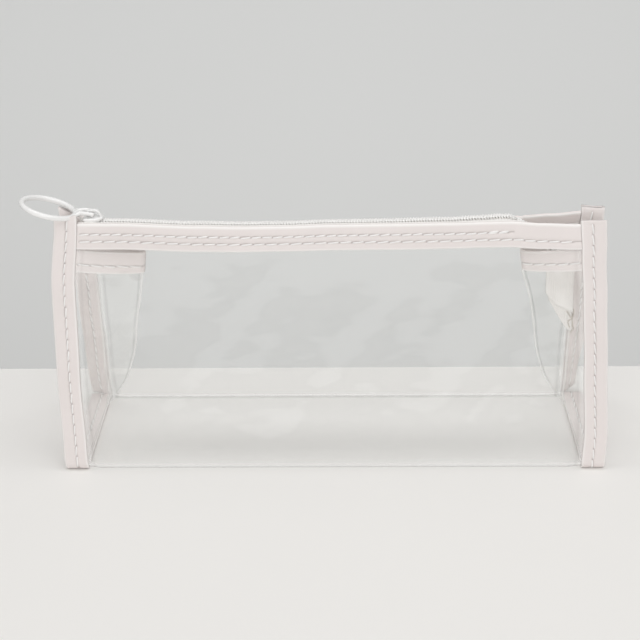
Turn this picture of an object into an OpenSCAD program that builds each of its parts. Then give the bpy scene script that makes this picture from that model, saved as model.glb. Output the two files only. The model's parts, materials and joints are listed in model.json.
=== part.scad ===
// Clear gusseted cosmetics pouch with white bindings, a coil zipper and a ring pull.
// Origin: middle of the base, on the surface that the pouch stands on.
// +X runs along the zipper, +Y to the back, +Z up.

/* [Pouch] */
// Distance between the two end seams
body_l = 200; // [170:1:240]
// Depth of the base, front crease to back crease
base_d = 60; // [54:1:72]
// Height of the corner bindings above the table
body_h = 99.2; // [90:0.1:115]
// Gap between the front and back sides at the top, between their mid planes
mouth_gap = 11.5; // [11:0.1:14]
// Thickness of the clear film
film_t = 0.4; // [0.3:0.05:0.5]

/* [Gussets] */
// How far each end folds inward at the top
fold_depth = 26; // [20:0.5:30]
// Height over which the fold opens out towards the base
fold_reach = 24; // [18:1:30]
// Top of a gusset at its corners
gusset_top = 87.6; // [80:0.5:89]
// How much lower the gusset's top edge lies at the fold
gusset_dip = 3.9; // [0:0.5:6]

/* [Bindings] */
// Width of the folded strip along the end seams
binding_w = 9.4; // [8:0.1:10]
// Thickness of that strip over both layers
binding_t = 1.9; // [1.6:0.1:2]
// Height of the strips that carry the zipper
strip_h = 10.2; // [9.5:0.1:12]
// Thickness of those strips
strip_t = 1.7; // [1.4:0.1:1.8]
// How far their top edge lies below the corner bindings
strip_drop = 1.4; // [1.2:0.1:2.4]
// Height of the strip along the top of each gusset
gusset_strip_h = 9; // [7:0.1:9.5]
// Thickness of the gusset strip
gusset_strip_t = 1.4; // [1.2:0.1:1.6]
// Thickness of the sewing thread
thread_t = 0.3; // [0.2:0.05:0.4]

/* [Zipper] */
// Width of the closed coil
coil_w = 3.8; // [3.6:0.1:4]
// Height of the coil
coil_h = 1.4; // [1.2:0.1:1.5]
// Thickness of the woven tape
tape_t = 0.35; // [0.3:0.05:0.4]
// Where the coil leaves the strips and its free tail begins
chain_end = 73; // [60:1:74]
// Length of the slider's body
slider_l = 8; // [7.6:0.1:9]
// Width of the slider's body
slider_w = 7.4; // [7:0.1:7.6]
// Distance from the left seam to the middle of the closed slider
slider_inset = 5.9; // [5:0.1:8]
// Width of the bridge over the slider
bridge_w = 1.8; // [1.6:0.1:2]

/* [Pull] */
// Outer diameter of the ring
ring_d = 23.3; // [20:0.1:24]
// Diameter of the ring's wire
wire_d = 2; // [1.6:0.1:2.2]
// Distance from the pull's pivot to the middle of the ring
pull_reach = 17.5; // [16.6:0.1:20]
// Upward tilt of the pull where it rests
pull_tilt = 10; // [8:0.5:14]

/* [Hidden] */
$fn = 48;

film_color = [0.86, 0.90, 0.91, 0.35];
binding_color = [0.91, 0.88, 0.875];
thread_color = [0.97, 0.96, 0.95];
tape_color = [0.93, 0.90, 0.86];
coil_color = [0.96, 0.95, 0.93];
paint_color = [0.95, 0.95, 0.95];

half_l = body_l / 2;
binding_in = half_l - 0.7;                      // inner edge of the end bindings
binding_out = binding_in + binding_w;           // outer edge of the end bindings
slot = film_t + 0.1;                            // slot in a binding for the film
slot_end = 1;                                   // material left past the slot
stitch_in = 0.42 * binding_w;                   // stitch line, from the inner edge
stop_gap = 0.3;                                 // room between parts that move apart
crease_z = film_t / 2;
lean = atan((base_d - mouth_gap) / 2 / (body_h - crease_z));
side_l = (body_h - crease_z) / cos(lean);       // slope length of a corner binding
strip_top = side_l - strip_drop;
strip_bottom = strip_top - strip_h;

// A point of the leaning front side, seen along X: in = inward from the film's mid plane,
// up = along the slope from the crease
function front_yz(in, up) = [
    -base_d / 2 + up * sin(lean) + in * cos(lean),
    crease_z + up * cos(lean) - in * sin(lean)
];

// Distance from the middle plane to the inner face of a side of thickness t, at height z
function inner_face(z, t) = base_d / 2 - (z - crease_z) * tan(lean) - t / 2 / cos(lean);

// Zipper levels
coil_sink = 0.59;                               // how far the coil's middle lies below the strips' tops
coil_z = front_yz(0, strip_top)[1] - coil_sink; // middle of the coil
tape_top = coil_z - coil_h / 2;
tape_edge = 0.15;                               // tape's inner edge to the middle plane
run_gap = 0.22;                                 // slider's running gap round the chain
plate_t = 1;
channel_w = coil_w + 2 * run_gap;
channel_top = coil_z + coil_h / 2 + run_gap;
channel_bottom = tape_top - tape_t - run_gap;
slider_top = channel_top + plate_t;
slider_bottom = channel_bottom - plate_t;
slider_x = -half_l + slider_inset;
post_l = 1.8;
post_w = 1.6;
chain_start = slider_x - slider_l / 2 + post_l + 1.2;
bridge_h = 3;
bridge_t = 1;
bridge_l = 6.6;
pivot_r = 0.6;                                  // cross bar under the bridge
arm_r = 0.75;
pivot_x = slider_x - 0.2;
pivot_z = slider_top + (bridge_h - bridge_t) / 2;
arm_y = bridge_w / 2 + 0.25 + arm_r;
neck_x = pull_reach - ring_d / 2 + wire_d / 2;

// ---- Gusset film -------------------------------------------------------------------
gusset_start = 2.2;                             // the film leaves the bottom binding
fold_round = 0.22;                              // roundness of the inward fold
function fold_at(z) = fold_depth * (1 - exp(-max(z - 4, 0) / fold_reach));
function gusset_half(z) = inner_face(z, binding_t) - (gusset_strip_t / 2 + stop_gap) / cos(lean);
function fold_shape(s) =
    1 - (sqrt(s * s + fold_round * fold_round) - fold_round)
        / (sqrt(1 + fold_round * fold_round) - fold_round);
// s runs from -1 at the front corner to 1 at the back corner
function gusset_xyz(s, z) = [half_l - fold_at(z) * fold_shape(s), s * gusset_half(z), z];
function gusset_edge(s) = gusset_top - gusset_dip * fold_shape(s);
function unit(v) = v / norm(v);
function gusset_normal(s, z) = unit(cross(
    gusset_xyz(s + 0.01, z) - gusset_xyz(s - 0.01, z),
    gusset_xyz(s, z + 0.1) - gusset_xyz(s, z - 0.1)
));

// A closed curved sheet that follows the gusset's surface, between two distances from it.
// low and high are lists of heights, one for each step from the front to the back.
module gusset_sheet(low, high, rows, faces_at) {
    cols = len(low) - 1;
    ss = [for (i = [0:cols]) -1 + 2 * i / cols];
    side = [for (off = faces_at) for (j = [0:rows]) for (i = [0:cols])
        let (z = low[i] + (high[i] - low[i]) * j / rows)
        gusset_xyz(ss[i], z) + off * gusset_normal(ss[i], z)];
    n = (cols + 1) * (rows + 1);
    function at(k, j, i) = k * n + j * (cols + 1) + i;
    faces = concat(
        [for (j = [0:rows - 1]) for (i = [0:cols - 1]) each [
            [at(0, j, i), at(0, j, i + 1), at(0, j + 1, i + 1)],
            [at(0, j, i), at(0, j + 1, i + 1), at(0, j + 1, i)],
            [at(1, j, i), at(1, j + 1, i + 1), at(1, j, i + 1)],
            [at(1, j, i), at(1, j + 1, i), at(1, j + 1, i + 1)]]],
        [for (i = [0:cols - 1]) each [
            [at(0, 0, i), at(1, 0, i + 1), at(0, 0, i + 1)],
            [at(0, 0, i), at(1, 0, i), at(1, 0, i + 1)],
            [at(0, rows, i), at(0, rows, i + 1), at(1, rows, i + 1)],
            [at(0, rows, i), at(1, rows, i + 1), at(1, rows, i)]]],
        [for (j = [0:rows - 1]) each [
            [at(0, j, 0), at(0, j + 1, 0), at(1, j + 1, 0)],
            [at(0, j, 0), at(1, j + 1, 0), at(1, j, 0)],
            [at(0, j, cols), at(1, j + 1, cols), at(0, j + 1, cols)],
            [at(0, j, cols), at(1, j, cols), at(1, j + 1, cols)]]]
    );
    polyhedron(points = side, faces = faces);
}

gusset_cols = 20;
gusset_ss = [for (i = [0:gusset_cols]) -1 + 2 * i / gusset_cols];
function edge_row(below) = [for (s = gusset_ss) gusset_edge(s) - below];

module gusset_film() {
    gusset_sheet([for (s = gusset_ss) gusset_start], edge_row(gusset_strip_h), 14,
        [-film_t / 2, film_t / 2]);
}

module gusset_strip() {
    gusset_sheet(edge_row(gusset_strip_h), edge_row(0), 3,
        [-gusset_strip_t / 2, gusset_strip_t / 2]);
}

// One thread along the inner face of the gusset strip, near its lower edge
module gusset_thread() {
    low = gusset_strip_h * 2 / 3;
    face = -gusset_strip_t / 2;
    gusset_sheet(edge_row(low), edge_row(low - thread_t), 1, [face - thread_t, face]);
}

module at_left() { mirror([1, 0, 0]) children(); }

module left_gusset() { color(film_color) at_left() gusset_film(); }
module right_gusset() { color(film_color) gusset_film(); }
module left_gusset_binding() { color(binding_color) at_left() gusset_strip(); }
module right_gusset_binding() { color(binding_color) gusset_strip(); }

module gusset_stitching() {
    color(thread_color) {
        gusset_thread();
        at_left() gusset_thread();
    }
}

// ---- Base --------------------------------------------------------------------------
lift = (binding_t - film_t) / 2;                // rise of the film into the end bindings
ramp = 5;

bottom_run = 2 * (inner_face(binding_t, binding_t) - stop_gap);         // end binding's length
bottom_depth = 2 * (inner_face(lift + film_t, film_t) - stop_gap);      // film's depth between

// The film's section along X: flat on the table, with ends raised into the end bindings
module bottom_section(end) {
    flat = binding_in - ramp;
    low = [[-end, lift], [-binding_in + 0.5, lift], [-flat, 0], [flat, 0],
        [binding_in - 0.5, lift], [end, lift]];
    polygon(concat(low, [for (i = [5:-1:0]) low[i] + [0, film_t]]));
}

module bottom_panel() {
    end = binding_out - slot_end - 0.2;
    color(film_color)
        rotate([90, 0, 0]) {
            linear_extrude(bottom_run, center = true) bottom_section(end);
            linear_extrude(bottom_depth, center = true) bottom_section(binding_in - 0.2);
        }
}

// Section of a folded end strip: closed at its outer edge, open towards the pouch
module folded_section(width, thickness) {
    difference() {
        translate([0, -thickness / 2]) square([width, thickness]);
        translate([-1, -slot / 2]) square([width - slot_end + 1, slot]);
    }
}

module bottom_strip() {
    translate([binding_in, 0, binding_t / 2])
        rotate([90, 0, 0])
            linear_extrude(bottom_run, center = true)
                folded_section(binding_w, binding_t);
}

module left_bottom_binding() { color(binding_color) at_left() bottom_strip(); }
module right_bottom_binding() { color(binding_color) bottom_strip(); }

module bottom_stitching() {
    color(thread_color)
        for (side = [-1, 1])
            translate([side * (binding_in + stitch_in), 0, binding_t + thread_t / 2])
                cube([thread_t, bottom_run - 2, thread_t], center = true);
}

// ---- Front and back sides ----------------------------------------------------------
module on_front() {
    translate([0, -base_d / 2, crease_z])
        rotate([-lean, 0, 0])
            children();
}
module on_back() { mirror([0, 1, 0]) on_front() children(); }

module side_film() {
    wide = 2 * (binding_out - slot_end - 0.2);
    low = 2 * stop_gap;
    high = strip_top - slot_end - 0.2;
    translate([-wide / 2, -film_t / 2, low]) cube([wide, film_t, high - low]);
}

module corner_strip() {
    low = 2.5 * stop_gap;
    translate([binding_in, 0, low])
        linear_extrude(side_l - low)
            folded_section(binding_w, binding_t);
}

module corner_threads() {
    for (side = [-1, 1])
        translate([side * (binding_in + stitch_in), -binding_t / 2 - thread_t / 2, side_l / 2])
            cube([thread_t, thread_t, side_l - 4], center = true);
}

strip_l = 2 * (binding_in - 0.1);

module top_strip() {
    translate([0, 0, strip_top])
        rotate([0, 90, 0])
            linear_extrude(strip_l, center = true)
                difference() {
                    translate([0, -strip_t / 2]) square([strip_h, strip_t]);
                    translate([slot_end, -slot / 2]) square([strip_h, slot]);
                }
}

lower_row = 3;                                  // stitch lines, from the strip's lower edge
upper_row = 5.5;

// Two threads: the lower one runs the whole length, the upper one holds the zipper tape
module strip_threads() {
    upper_l = half_l + chain_end - 1;
    translate([0, -strip_t / 2 - thread_t / 2, 0]) {
        translate([0, 0, strip_bottom + lower_row]) cube([strip_l - 1, thread_t, thread_t], center = true);
        translate([-half_l + 1 + upper_l / 2, 0, strip_bottom + upper_row])
            cube([upper_l, thread_t, thread_t], center = true);
    }
}

// Section of one zipper tape, front half: sewn behind the strip, over its top, to the coil.
// inner is the distance from the tape's inner edge to the middle plane.
module tape_section(inner) {
    behind = strip_t / 2 + 0.05;
    foot = front_yz(behind, strip_bottom + 4);
    knee = front_yz(behind, strip_top - 1.6);
    bend = [-coil_w / 2 - 1.7, tape_top - tape_t];
    polygon([
        foot, front_yz(behind + tape_t, strip_bottom + 4),
        front_yz(behind + tape_t, strip_top - 2),
        bend + [0.2, 0], [-inner, tape_top - tape_t], [-inner, tape_top],
        bend + [0, tape_t], knee
    ]);
}

module along_x(from, to) {
    translate([from, 0, 0]) rotate([90, 0, 90]) linear_extrude(to - from) children();
}

module zipper_tape() {
    along_x(-binding_in + 0.1, chain_start) tape_section(post_w / 2 + run_gap);
    along_x(chain_start, chain_end) tape_section(tape_edge);
}

// One row of the coil, as the rounded bar that its turns fill
module coil_row() {
    along_x(chain_start, chain_end)
        intersection() {
            translate([-coil_w / 2, tape_top]) square([coil_w / 2 - 0.05, coil_h]);
            union() {
                translate([-coil_w / 2 + coil_h / 2, coil_z]) circle(d = coil_h);
                translate([-coil_w / 2 + coil_h / 2, tape_top]) square([coil_w, coil_h]);
            }
        }
}

module front_panel() { color(film_color) on_front() side_film(); }
module front_top_strip() { color(binding_color) on_front() top_strip(); }
module front_left_corner_binding() { color(binding_color) on_front() at_left() corner_strip(); }
module front_right_corner_binding() { color(binding_color) on_front() corner_strip(); }
module front_corner_stitching() { color(thread_color) on_front() corner_threads(); }
module front_strip_stitching() { color(thread_color) on_front() strip_threads(); }
module front_zipper_tape() { color(tape_color) zipper_tape(); }
module front_coil() { color(coil_color) coil_row(); }

module back_panel() { color(film_color) on_back() side_film(); }
module back_top_strip() { color(binding_color) on_back() top_strip(); }
module back_left_corner_binding() { color(binding_color) on_back() at_left() corner_strip(); }
module back_right_corner_binding() { color(binding_color) on_back() corner_strip(); }
module back_corner_stitching() { color(thread_color) on_back() corner_threads(); }
module back_strip_stitching() { color(thread_color) on_back() strip_threads(); }
module back_zipper_tape() { color(tape_color) mirror([0, 1, 0]) zipper_tape(); }
module back_coil() { color(coil_color) mirror([0, 1, 0]) coil_row(); }

// ---- Free tail of the zipper -------------------------------------------------------
// Middle line of the tail, from the end of the strips down into the notch of the right gusset
tail_route = [[73.3, 0, 96.4], [77.5, 0, 96.2], [81.5, 0, 95], [85, 0, 92], [87.6, 0, 87.5],
    [89, 0, 82], [89.6, 0, 74], [90, 0, 66], [90, 0, 57]];
tail_w = [4, 4, 4, 4, 4.4, 6, 8.6, 9.6, 9.6];
tail_turn = [0, 0, 0, 4, 16, 36, 54, 60, 62];
tail_t = 1.2;

// A ribbon along the route, turned about the vertical as it hangs
module ribbon(route, widths, turns, t) {
    last = len(route) - 1;
    rings = [for (i = [0:last])
        let (
            ahead = unit(route[min(i + 1, last)] - route[max(i - 1, 0)]),
            across = [-sin(turns[i]), cos(turns[i]), 0],
            side = unit(across - (across * ahead) * ahead) * widths[i] / 2,
            up = unit(cross(ahead, side)) * t / 2
        )
        each [route[i] + side + up, route[i] - side + up, route[i] - side - up, route[i] + side - up]];
    polyhedron(
        points = rings,
        faces = concat(
            [[0, 1, 2, 3], [for (k = [3:-1:0]) 4 * last + k]],
            [for (i = [0:last - 1]) for (k = [0:3]) each [
                [4 * i + k, 4 * i + 4 + k, 4 * i + 4 + (k + 1) % 4],
                [4 * i + k, 4 * i + 4 + (k + 1) % 4, 4 * i + (k + 1) % 4]]]
        )
    );
}

module zipper_tail() { color(tape_color) ribbon(tail_route, tail_w, tail_turn, tail_t); }

// ---- Slider and pull ---------------------------------------------------------------
// Outline of the slider from above: a shield that narrows towards its right end
module slider_outline() {
    intersection() {
        translate([-slider_l / 2, -slider_w / 2]) square([slider_l, slider_w]);
        hull() {
            translate([-slider_l / 2 + 2.4, 0]) circle(d = slider_w);
            translate([slider_l / 2 - 2.8, 0]) circle(d = slider_w - 1);
        }
    }
}

module slider_body() {
    flange_gap = 0.2;
    color(paint_color)
        translate([slider_x, 0, 0]) {
            difference() {
                translate([0, 0, slider_bottom])
                    linear_extrude(slider_top - slider_bottom) slider_outline();
                // channel for the coil
                translate([-slider_l, -channel_w / 2, channel_bottom])
                    cube([2 * slider_l, channel_w, channel_top - channel_bottom]);
                // slots for the tapes
                translate([-slider_l, -slider_w, channel_bottom])
                    cube([2 * slider_l, 2 * slider_w, tape_t + run_gap + flange_gap]);
            }
            // post that parts the two rows of the coil
            translate([-slider_l / 2 + post_l / 2 + 0.2, 0, (slider_top + slider_bottom) / 2])
                cube([post_l, post_w, slider_top - slider_bottom - 0.4], center = true);
            // bridge that holds the pull
            translate([0, 0, slider_top])
                difference() {
                    translate([-bridge_l / 2, -bridge_w / 2, -0.2])
                        cube([bridge_l, bridge_w, bridge_h + 0.2]);
                    translate([-bridge_l / 2 + bridge_t, -bridge_w, 0])
                        cube([bridge_l - 2 * bridge_t, 2 * bridge_w, bridge_h - bridge_t]);
                }
        }
}

// Ring, neck and two arms in one casting, drawn flat to the left of the pivot
module pull_ring() {
    color(paint_color)
        translate([pivot_x, 0, pivot_z])
            rotate([0, pull_tilt, 0]) {
                translate([-pull_reach, 0, 0])
                    rotate_extrude()
                        translate([(ring_d - wire_d) / 2, 0]) circle(d = wire_d, $fn = 24);
                rotate([90, 0, 0]) cylinder(r = pivot_r, h = 2 * arm_y, center = true);
                for (side = [-1, 1])
                    translate([0, side * arm_y, 0]) {
                        sphere(r = arm_r);
                        rotate([0, -90, 0]) cylinder(r = arm_r, h = neck_x);
                    }
                translate([-neck_x, 0, 0])
                    rotate([90, 0, 0])
                        cylinder(r = wire_d / 2, h = 2 * (arm_y + arm_r), center = true);
            }
}

// ---- Assembly ----------------------------------------------------------------------
bottom_panel();
left_bottom_binding();
right_bottom_binding();
bottom_stitching();
left_gusset();
right_gusset();
left_gusset_binding();
right_gusset_binding();
gusset_stitching();
front_panel();
front_top_strip();
front_left_corner_binding();
front_right_corner_binding();
front_corner_stitching();
front_strip_stitching();
front_zipper_tape();
front_coil();
back_panel();
back_top_strip();
back_left_corner_binding();
back_right_corner_binding();
back_corner_stitching();
back_strip_stitching();
back_zipper_tape();
back_coil();
zipper_tail();
slider_body();
pull_ring();
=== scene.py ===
"""Looks for the clear cosmetics pouch: film, folded bindings, stitches, coil zipper, slider and ring pull.

Lengths inside the script are millimetres in the row frame. Meshes are written in metres.
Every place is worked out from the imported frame's own boxes and joints.
"""

import json
import math

import bpy
import bmesh
import numpy as np
from mathutils import Matrix, Vector


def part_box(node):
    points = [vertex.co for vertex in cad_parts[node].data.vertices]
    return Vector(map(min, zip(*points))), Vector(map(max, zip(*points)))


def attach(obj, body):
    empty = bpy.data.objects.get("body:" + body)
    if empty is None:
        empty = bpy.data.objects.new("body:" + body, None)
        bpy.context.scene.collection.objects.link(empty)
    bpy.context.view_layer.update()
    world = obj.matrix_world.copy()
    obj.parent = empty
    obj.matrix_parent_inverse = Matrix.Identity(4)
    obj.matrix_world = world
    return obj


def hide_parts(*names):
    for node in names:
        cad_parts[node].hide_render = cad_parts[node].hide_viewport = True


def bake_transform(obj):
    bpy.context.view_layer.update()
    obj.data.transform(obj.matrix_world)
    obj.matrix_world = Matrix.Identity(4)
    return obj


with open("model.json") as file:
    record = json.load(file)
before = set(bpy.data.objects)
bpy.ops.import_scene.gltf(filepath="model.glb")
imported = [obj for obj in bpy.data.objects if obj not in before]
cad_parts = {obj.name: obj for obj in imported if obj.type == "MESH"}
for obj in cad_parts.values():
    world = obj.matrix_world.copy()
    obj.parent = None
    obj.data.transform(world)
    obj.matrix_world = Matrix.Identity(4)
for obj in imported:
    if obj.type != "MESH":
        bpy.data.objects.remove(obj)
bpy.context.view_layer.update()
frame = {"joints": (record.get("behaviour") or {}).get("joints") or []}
MM = 0.001


# ---- Measures read from the frame ---------------------------------------------------
def box_mm(node):
    low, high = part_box(node)
    return np.array(low) / MM, np.array(high) / MM


def joint(name):
    return next(j for j in frame["joints"] if j["name"] == name)


CREASE = np.array(joint("front_open")["pos_m"]) / MM         # front crease, where the side hinges
PIVOT = np.array(joint("pull_swing")["pos_m"]) / MM          # cross bar of the pull
STRIP_LOW, STRIP_HIGH = box_mm("front_top_strip")
CORNER_LOW, CORNER_HIGH = box_mm("front_right_corner_binding")
STRIP_MID = (STRIP_LOW + STRIP_HIGH) / 2
LEAN = math.atan2(STRIP_MID[1] - CREASE[1], STRIP_MID[2] - CREASE[2])


def slope_section(low, high):
    """Length up the slope, thickness and middle distance up the slope of a leaning bar, from its box."""
    size = high - low
    turn = np.array([[math.sin(LEAN), math.cos(LEAN)], [math.cos(LEAN), math.sin(LEAN)]])
    length, thickness = np.linalg.solve(turn, size[1:])
    middle = (low + high) / 2 - CREASE
    return length, thickness, math.hypot(middle[1], middle[2])


STRIP_W, STRIP_T, STRIP_UP = slope_section(STRIP_LOW, STRIP_HIGH)
CORNER_L, CORNER_T, CORNER_UP = slope_section(CORNER_LOW, CORNER_HIGH)
STRIP_BOTTOM = STRIP_UP - STRIP_W / 2
STRIP_TOP = STRIP_UP + STRIP_W / 2
CORNER_TOP = CORNER_UP + CORNER_L / 2
BINDING_IN = CORNER_LOW[0]
BINDING_OUT = CORNER_HIGH[0]
BINDING_W = BINDING_OUT - BINDING_IN
HALF_BASE = -CREASE[1]
FILM_T = 2 * CREASE[2]
COIL_LOW, COIL_HIGH = box_mm("front_coil")
COIL_Z = (COIL_LOW[2] + COIL_HIGH[2]) / 2
COIL_H = COIL_HIGH[2] - COIL_LOW[2]
COIL_HALF = -COIL_LOW[1]
CHAIN_END = COIL_HIGH[0]
GUSSET_STRIP_LOW, GUSSET_STRIP_HIGH = box_mm("right_gusset_binding")
GUSSET_TOP = GUSSET_STRIP_HIGH[2]
SLIDER_LOW, SLIDER_HIGH = box_mm("slider_body")
PULL_LOW, PULL_HIGH = box_mm("pull_ring")

SIDES = {False: "front", True: "back"}
HANDS = {-1: "left", 1: "right"}


# ---- Small maths --------------------------------------------------------------------
def smooth(low, high, value):
    t = np.clip((np.asarray(value, float) - low) / (high - low), 0, 1)
    return t * t * (3 - 2 * t)


def through(knots, value):
    """Smooth steps from knot to knot."""
    xs, ys = np.array(knots, float).T
    value = np.asarray(value, float)
    k = np.clip(np.searchsorted(xs, value) - 1, 0, len(xs) - 2)
    return ys[k] + (ys[k + 1] - ys[k]) * smooth(0, 1, (value - xs[k]) / (xs[k + 1] - xs[k]))


def unit(v):
    v = np.asarray(v, float)
    return v / np.linalg.norm(v, axis=-1, keepdims=True)


def distances(line):
    """How far along a line each of its points is."""
    return np.concatenate([[0], np.cumsum(np.linalg.norm(np.diff(line, axis=0), axis=1))])


def turns(count):
    """Angles spaced evenly round a circle."""
    return np.linspace(0, 2 * np.pi, count, endpoint=False)


def waves(value, seed, longest, count=4):
    """A smooth wandering line about 0, the same for the same seed."""
    rng = np.random.default_rng(seed)
    value = np.asarray(value, float)
    total = np.zeros_like(value)
    for k in range(count):
        length = longest / (1 + 0.8 * k)
        total = total + np.sin(2 * np.pi * (value / length + rng.random())) / (1 + k)
    return total / 1.6


# ---- How the soft pouch settles -----------------------------------------------------
# The top line sags between its ends and droops past the zipper's end. The back one hangs a little lower.
TOP_LINE = [(-101, 0.8), (-86, 0.7), (-52, -0.65), (-35, -1.05), (-18, -0.9), (0, -0.4), (20, -0.25),
            (47, 0.0), (60, 0.3), (70, 0.5), (84, -0.4), (98, -0.9), (112, -0.9)]
BACK_LINE = [(-112, 0.3), (-102, 0.3), (-100, -1.4), (-92, -2.6), (70, -2.6), (74, -2.4), (87, -1.0),
             (100, 0.5), (102, -0.1), (112, -0.1)]
# The chain lies below the strips' tops on the left, rises to the right and dives before its end.
CHAIN_LINE = [(-101, -0.5), (10, -0.5), (45, -0.2), (58, 0.2), (66, 0.6), (70, 0.5), (73, -0.6)]
# Each end's seams lean out or in along their height: (height, shift along x).
END_SHIFTS = {
    ("left", "front"): [(0, -0.4), (7, -0.9), (41, -2.1), (73, -2.4), (99, -0.3)],
    ("left", "back"): [(0, 0), (10, -0.4), (40, 0.8), (70, 1.9), (84, 1.0), (99, -1.9)],
    ("right", "front"): [(0, 0.9), (14, 1.6), (41, 0.75), (68, -0.2), (87, -1.2), (99, -1.9)],
    ("right", "back"): [(0, 0.4), (40, -0.3), (70, -0.9), (86, -0.9), (99, -0.2)],
}


def settle(points):
    """Moves points of the soft pouch from its straight design to how it stands."""
    p = np.array(points, float)
    x, y, z = p[..., 0].copy(), p[..., 1].copy(), p[..., 2].copy()
    high = np.clip(z / COIL_Z, 0, 1.1) ** 1.5
    rear = smooth(1.6, 5.0, y)
    p[..., 2] = z + through(TOP_LINE, x) * high + through(BACK_LINE, x) * high ** 2 * rear
    p[..., 1] = y + 0.35 * through(BACK_LINE, x) * high ** 2 * rear * (x < 76)
    share = np.clip(0.5 + y / (2 * side_gap(np.clip(z, 0, 98), 0)), 0, 1)
    for sign, hand in HANDS.items():
        near = smooth(55, BINDING_IN, sign * x)
        front, back = (through(END_SHIFTS[hand, end], z) for end in SIDES.values())
        p[..., 0] = p[..., 0] + near * ((1 - share) * front + share * back)
    # the front right strip splays a little at its top
    splay = smooth(BINDING_IN - 0.3, BINDING_IN, x) * smooth(78, 99, z) * (1 - share)
    p[..., 0] = p[..., 0] + 0.1 * splay * (x - BINDING_IN - 0.4 * BINDING_W)
    return p


def chain_rise(x):
    return through(CHAIN_LINE, np.minimum(x, CHAIN_END))


def side_gap(z, out):
    """Half the distance between the two sides' films at height z, less out."""
    return HALF_BASE - (z - CREASE[2]) * math.tan(LEAN) - out / math.cos(LEAN)


def on_side(x, up, out, back=False):
    """Points on a leaning side: x along it, up its slope from the crease, out from its film."""
    x, up, out = np.broadcast_arrays(np.asarray(x, float), up, out)
    y = CREASE[1] + up * math.sin(LEAN) - out * math.cos(LEAN)
    z = CREASE[2] + up * math.cos(LEAN) + out * math.sin(LEAN)
    return np.stack([x, -y if back else y, z], -1)


# ---- Mesh making --------------------------------------------------------------------
def put(name, data):
    """A new object with this data, in the scene."""
    obj = bpy.data.objects.new(name, data)
    bpy.context.scene.collection.objects.link(obj)
    return obj


def add_mesh(name, points, faces, attributes=None):
    """A smooth-shaded object from points in millimetres."""
    mesh = bpy.data.meshes.new(name)
    mesh.from_pydata((np.asarray(points, float).reshape(-1, 3) * MM).tolist(), [], faces)
    mesh.validate()
    for key, values in (attributes or {}).items():
        layer = mesh.attributes.new(key, "FLOAT", "POINT")
        layer.data.foreach_set("value", np.asarray(values, np.float32).ravel())
    mesh.polygons.foreach_set("use_smooth", [True] * len(mesh.polygons))
    return put(name, mesh)


def grid_faces(rows, cols, start=0, wrap=False):
    """Quads over rows by cols points, where wrap joins the last column to the first."""
    last = cols if wrap else cols - 1
    return [
        (start + r * cols + c, start + r * cols + (c + 1) % cols,
         start + (r + 1) * cols + (c + 1) % cols, start + (r + 1) * cols + c)
        for r in range(rows - 1) for c in range(last)
    ]


def tube_faces(rows, cols, start=0):
    """A closed tube: wrapped quads and two end caps."""
    first = [start + c for c in range(cols)]
    end = [start + (rows - 1) * cols + c for c in range(cols)]
    return grid_faces(rows, cols, start, True) + [tuple(reversed(first)), tuple(end)]


def join(parts):
    """One list of points and of faces from several (points, faces)."""
    points, faces, start = [], [], 0
    for more, more_faces in parts:
        points.append(np.asarray(more, float).reshape(-1, 3))
        faces += [tuple(i + start for i in face) for face in more_faces]
        start += len(points[-1])
    return np.concatenate(points), faces


def settle_normals(obj):
    bm = bmesh.new()
    bm.from_mesh(obj.data)
    bmesh.ops.recalc_face_normals(bm, faces=bm.faces)
    bm.to_mesh(obj.data)
    bm.free()
    return obj


def apply_modifiers(obj):
    """The object's mesh as its modifiers leave it, with none left on it."""
    graph = bpy.context.evaluated_depsgraph_get()
    mesh = bpy.data.meshes.new_from_object(obj.evaluated_get(graph))
    obj.modifiers.clear()
    obj.data = mesh
    mesh.polygons.foreach_set("use_smooth", [True] * len(mesh.polygons))
    return obj


def film(name, grid, white, shade):
    """Clear film as one curved surface about a grid of points. white is 1 where a highlight is painted along
    a crease, partly the film's own whitening, and shade is 1 in the painted shade lines beside it."""
    grid = np.asarray(grid, float)
    rows, cols = grid.shape[:2]
    marks = {"crease": np.broadcast_to(white, (rows, cols)), "shade": np.broadcast_to(shade, (rows, cols))}
    piece = add_mesh(name, grid, grid_faces(rows, cols), marks)
    # clear film hardly dims what it covers
    piece.visible_shadow = False
    piece.visible_diffuse = False
    return piece


def cloth(name, grid, thickness):
    """A closed thin sheet about a grid of points."""
    grid = np.asarray(grid, float)
    rows, cols = grid.shape[:2]
    normal = unit(np.cross(np.gradient(grid, axis=0), np.gradient(grid, axis=1)))
    half = thickness / 2
    points = np.concatenate([(grid + normal * half).reshape(-1, 3), (grid - normal * half).reshape(-1, 3)])
    n = rows * cols
    faces = grid_faces(rows, cols) + [tuple(reversed(f)) for f in grid_faces(rows, cols, n)]
    rim = (
        [(0, c) for c in range(cols - 1)]
        + [(r, cols - 1) for r in range(rows - 1)]
        + [(rows - 1, c) for c in range(cols - 1, 0, -1)]
        + [(r, 0) for r in range(rows - 1, 0, -1)]
    )
    ids = [r * cols + c for r, c in rim]
    for a, b in zip(ids, ids[1:] + ids[:1]):
        faces.append((b, a, a + n, b + n))
    return settle_normals(add_mesh(name, points, faces))


# ---- Folded strips and their stitches -----------------------------------------------
SLOT = FILM_T + 0.1
STATION_GAP = 0.55                  # between a strip's cross sections
STITCH_DIP = 0.24                   # depth of the groove that a row of stitches lies in
THREAD_R = 0.32


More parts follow.
